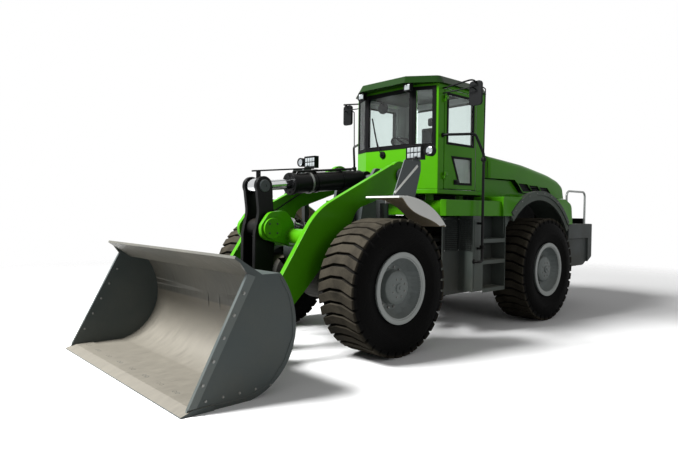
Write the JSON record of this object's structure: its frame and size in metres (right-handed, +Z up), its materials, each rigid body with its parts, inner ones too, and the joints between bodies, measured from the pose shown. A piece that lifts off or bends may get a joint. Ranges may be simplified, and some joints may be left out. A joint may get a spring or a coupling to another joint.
{
  "type": "wheel loader",
  "caption": "Articulated wheel loader with a Z-bar boom, wide bucket, glazed cab, tilting hood, side steps and chunky tyres; it turns, lifts, tips and rolls.",
  "frame": {"origin": "centre of the bounding box on the ground", "axes": "+X towards the bucket, +Y to the left side, +Z up"},
  "size_m": [8.3729, 2.914, 3.505],
  "materials": {
    "green_paint": "gloss",
    "slate_paint": "satin",
    "dark_paint": "satin",
    "frame_paint": "satin",
    "grey_paint": "satin",
    "rim_paint": "satin",
    "black_paint": "satin",
    "rod_steel": "polished",
    "tyre_rubber": "matte",
    "glass": "clear",
    "black_plastic": "matte",
    "seat_cloth": "woven"
  },
  "bodies": {
    "rear": {"rear_frame": "dark_paint", "rear_axle": "dark_paint", "rear_shaft": "dark_paint", "side_boxes": "dark_paint", "steps": "grey_paint", "deck": "green_paint", "rear_fenders": "green_paint", "counterweight": "slate_paint", "power_pack": "dark_paint", "cooler_housing": "dark_paint", "cab_floor": "green_paint", "cab_frame": "green_paint", "cab_glass": "glass", "cab_roof": "green_paint", "roof_lamps": "black_plastic", "seat_base": "black_plastic", "seat_pads": "seat_cloth", "console": "black_plastic", "mirrors": "black_plastic", "handrails": "black_paint", "rear_lamps": "black_plastic"},
    "hood": {"hood": "green_paint"},
    "door_left": {"door_left": "green_paint", "door_left_glass": "glass"},
    "door_right": {"door_right": "green_paint", "door_right_glass": "glass"},
    "front": {"front_frame": "frame_paint", "front_axle": "dark_paint", "front_shaft": "dark_paint", "front_fenders": "grey_paint", "headlamps": "black_plastic"},
    "boom": {"boom": "green_paint"},
    "bucket_pins": {"bucket_pins": "rod_steel"},
    "bucket": {"bucket": "slate_paint"},
    "link_pin": {"link_pin": "rod_steel"},
    "bucket_link": {"bucket_link": "slate_paint"},
    "crank_pin": {"crank_pin": "rod_steel"},
    "bell_crank": {"bell_crank": "black_paint"},
    "tilt_barrel": {"tilt_barrel": "black_paint"},
    "tilt_rod": {"tilt_rod": "rod_steel"},
    "lift_barrels": {"lift_barrels": "black_paint"},
    "lift_rods": {"lift_rods": "rod_steel"},
    "steer_barrel_left": {"steer_barrel_left": "black_paint"},
    "steer_rod_left": {"steer_rod_left": "rod_steel"},
    "steer_barrel_right": {"steer_barrel_right": "black_paint"},
    "steer_rod_right": {"steer_rod_right": "rod_steel"},
    "wheel_front_left": {"tyre_front_left": "tyre_rubber", "rim_front_left": "rim_paint"},
    "wheel_front_right": {"tyre_front_right": "tyre_rubber", "rim_front_right": "rim_paint"},
    "wheel_rear_left": {"tyre_rear_left": "tyre_rubber", "rim_rear_left": "rim_paint"},
    "wheel_rear_right": {"tyre_rear_right": "tyre_rubber", "rim_rear_right": "rim_paint"}
  },
  "joints": [
    {"name": "steering", "type": "hinge", "parent": "rear", "child": "front", "pos_m": [-0.228, 0, 0.93], "axis": [0, 0, 1], "range_deg": [-35, 35]},
    {"name": "boom_lift", "type": "hinge", "parent": "front", "child": "boom", "pos_m": [0.679, 0, 2.117], "axis": [0, -1, 0], "range_deg": [-1, 78]},
    {"name": "bucket_level", "type": "hinge", "parent": "boom", "child": "bucket_pins", "pos_m": [2.812, 0, 0.39], "axis": [0, -1, 0], "range_deg": [-65.54, 0.86]},
    {"name": "bucket_tilt", "type": "hinge", "parent": "bucket_pins", "child": "bucket", "pos_m": [2.812, 0, 0.39], "axis": [0, 1, 0], "range_deg": [-40, 45]},
    {"name": "link_level", "type": "hinge", "parent": "bucket", "child": "link_pin", "pos_m": [2.912, 0, 0.67], "axis": [0, -1, 0], "range_deg": [-0.2, 13.79]},
    {"name": "link_turn", "type": "hinge", "parent": "link_pin", "child": "bucket_link", "pos_m": [2.912, 0, 0.67], "axis": [0, -1, 0], "range_deg": [-26.21, 29.49]},
    {"name": "crank_level", "type": "hinge", "parent": "boom", "child": "crank_pin", "pos_m": [2.472, 0, 1.44], "axis": [0, -1, 0], "range_deg": [-0.18, 12.84]},
    {"name": "crank_turn", "type": "hinge", "parent": "crank_pin", "child": "bell_crank", "pos_m": [2.472, 0, 1.44], "axis": [0, -1, 0], "range_deg": [-7.7, 8.66]},
    {"name": "tilt_barrel_turn", "type": "hinge", "parent": "front", "child": "tilt_barrel", "pos_m": [0.766, 0, 2.092], "axis": [0, -1, 0], "range_deg": [-1.04, 79.61]},
    {"name": "tilt_rod_slide", "type": "slide", "parent": "tilt_barrel", "child": "tilt_rod", "axis": [0.9957, 0, -0.0929], "range_m": [-0.0813, 0.0723]},
    {"name": "lift_barrel_turn", "type": "hinge", "parent": "front", "child": "lift_barrels", "pos_m": [0.532, 0, 1.13], "axis": [0, -1, 0], "range_deg": [-0.61, 45.87]},
    {"name": "lift_rod_slide", "type": "slide", "parent": "lift_barrels", "child": "lift_rods", "axis": [0.9594, 0, 0.2822], "range_m": [-0.0118, 0.8788]},
    {"name": "steer_barrel_left_turn", "type": "hinge", "parent": "rear", "child": "steer_barrel_left", "pos_m": [-1.078, 0.26, 0.93], "axis": [0, 0, 1], "range_deg": [-0.59, 0.59]},
    {"name": "steer_rod_left_slide", "type": "slide", "parent": "steer_barrel_left", "child": "steer_rod_left", "axis": [1, 0, 0], "range_m": [-0.1494, 0.1494]},
    {"name": "steer_barrel_right_turn", "type": "hinge", "parent": "rear", "child": "steer_barrel_right", "pos_m": [-1.078, -0.26, 0.93], "axis": [0, 0, 1], "range_deg": [-0.59, 0.59]},
    {"name": "steer_rod_right_slide", "type": "slide", "parent": "steer_barrel_right", "child": "steer_rod_right", "axis": [1, 0, 0], "range_m": [-0.1494, 0.1494]},
    {"name": "hood_tip", "type": "hinge", "parent": "rear", "child": "hood", "pos_m": [-1.093, 0, 2.45], "axis": [0, 1, 0], "range_deg": [0, 50]},
    {"name": "door_left_swing", "type": "hinge", "parent": "rear", "child": "door_left", "pos_m": [-0.023, 0.806, 2.2], "axis": [0, 0, -1], "range_deg": [0, 55]},
    {"name": "door_right_swing", "type": "hinge", "parent": "rear", "child": "door_right", "pos_m": [-0.023, -0.806, 2.2], "axis": [0, 0, 1], "range_deg": [0, 55]},
    {"name": "wheel_front_left_spin", "type": "hinge", "parent": "front", "child": "wheel_front_left", "pos_m": [1.472, 1.093, 0.785], "axis": [0, 1, 0], "continuous": true},
    {"name": "wheel_front_right_spin", "type": "hinge", "parent": "front", "child": "wheel_front_right", "pos_m": [1.472, -1.093, 0.785], "axis": [0, 1, 0], "continuous": true},
    {"name": "wheel_rear_left_spin", "type": "hinge", "parent": "rear", "child": "wheel_rear_left", "pos_m": [-1.928, 1.093, 0.785], "axis": [0, 1, 0], "continuous": true},
    {"name": "wheel_rear_right_spin", "type": "hinge", "parent": "rear", "child": "wheel_rear_right", "pos_m": [-1.928, -1.093, 0.785], "axis": [0, 1, 0], "continuous": true}
  ],
  "couplings": [
    {"joint": "bucket_level", "follows": "boom_lift", "ratio": -0.84},
    {"joint": "link_level", "follows": "boom_lift", "ratio": 0.1766},
    {"joint": "link_turn", "follows": "bucket_tilt", "ratio": 0.6548},
    {"joint": "crank_level", "follows": "boom_lift", "ratio": 0.1643},
    {"joint": "crank_turn", "follows": "bucket_tilt", "ratio": 0.1921},
    {"joint": "tilt_barrel_turn", "follows": "boom_lift", "ratio": 1.0204},
    {"joint": "tilt_rod_slide", "follows": "bucket_tilt", "m_per_rad": -0.1029},
    {"joint": "lift_barrel_turn", "follows": "boom_lift", "ratio": 0.58778},
    {"joint": "lift_rod_slide", "follows": "boom_lift", "m_per_rad": 0.64515},
    {"joint": "steer_barrel_left_turn", "follows": "steering", "ratio": -0.0164},
    {"joint": "steer_rod_left_slide", "follows": "steering", "m_per_rad": -0.2437},
    {"joint": "steer_barrel_right_turn", "follows": "steering", "ratio": -0.0164},
    {"joint": "steer_rod_right_slide", "follows": "steering", "m_per_rad": 0.2437}
  ]
}
